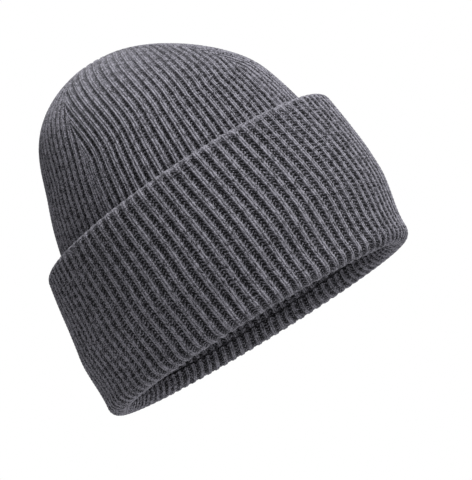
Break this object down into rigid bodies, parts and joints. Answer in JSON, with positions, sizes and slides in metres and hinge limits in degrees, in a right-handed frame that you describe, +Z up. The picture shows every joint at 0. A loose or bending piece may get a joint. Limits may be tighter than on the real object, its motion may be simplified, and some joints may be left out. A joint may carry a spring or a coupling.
{
  "type": "knit beanie",
  "caption": "Rib knit beanie at worn height: double-layered dome with sewn crown darts and a deep turned-up cuff, open below to take a head.",
  "frame": {"origin": "middle of the hat's length and width, on the plane that the brim rests on", "axes": "+Z up to the crown, -Y to the forehead, +X to the wearer's left"},
  "size_m": [0.1796, 0.2245, 0.1855],
  "materials": {
    "rib_knit": "charcoal heather yarn in one-by-one rib, matt and softly fuzzy",
    "sewing_yarn": "dark charcoal yarn of the same knit, matt"
  },
  "bodies": {
    "root": {"outer_shell": "rib_knit", "lining": "rib_knit", "cuff_face": "rib_knit", "cuff_backing": "rib_knit", "crown_closing_stitches": "sewing_yarn", "lining_closing_stitches": "sewing_yarn", "dart_seam_front": "sewing_yarn", "dart_seam_back": "sewing_yarn", "dart_seam_right": "sewing_yarn", "dart_seam_left": "sewing_yarn", "lining_dart_seam_front": "sewing_yarn", "lining_dart_seam_back": "sewing_yarn", "lining_dart_seam_right": "sewing_yarn", "lining_dart_seam_left": "sewing_yarn"}
  },
  "joints": []
}
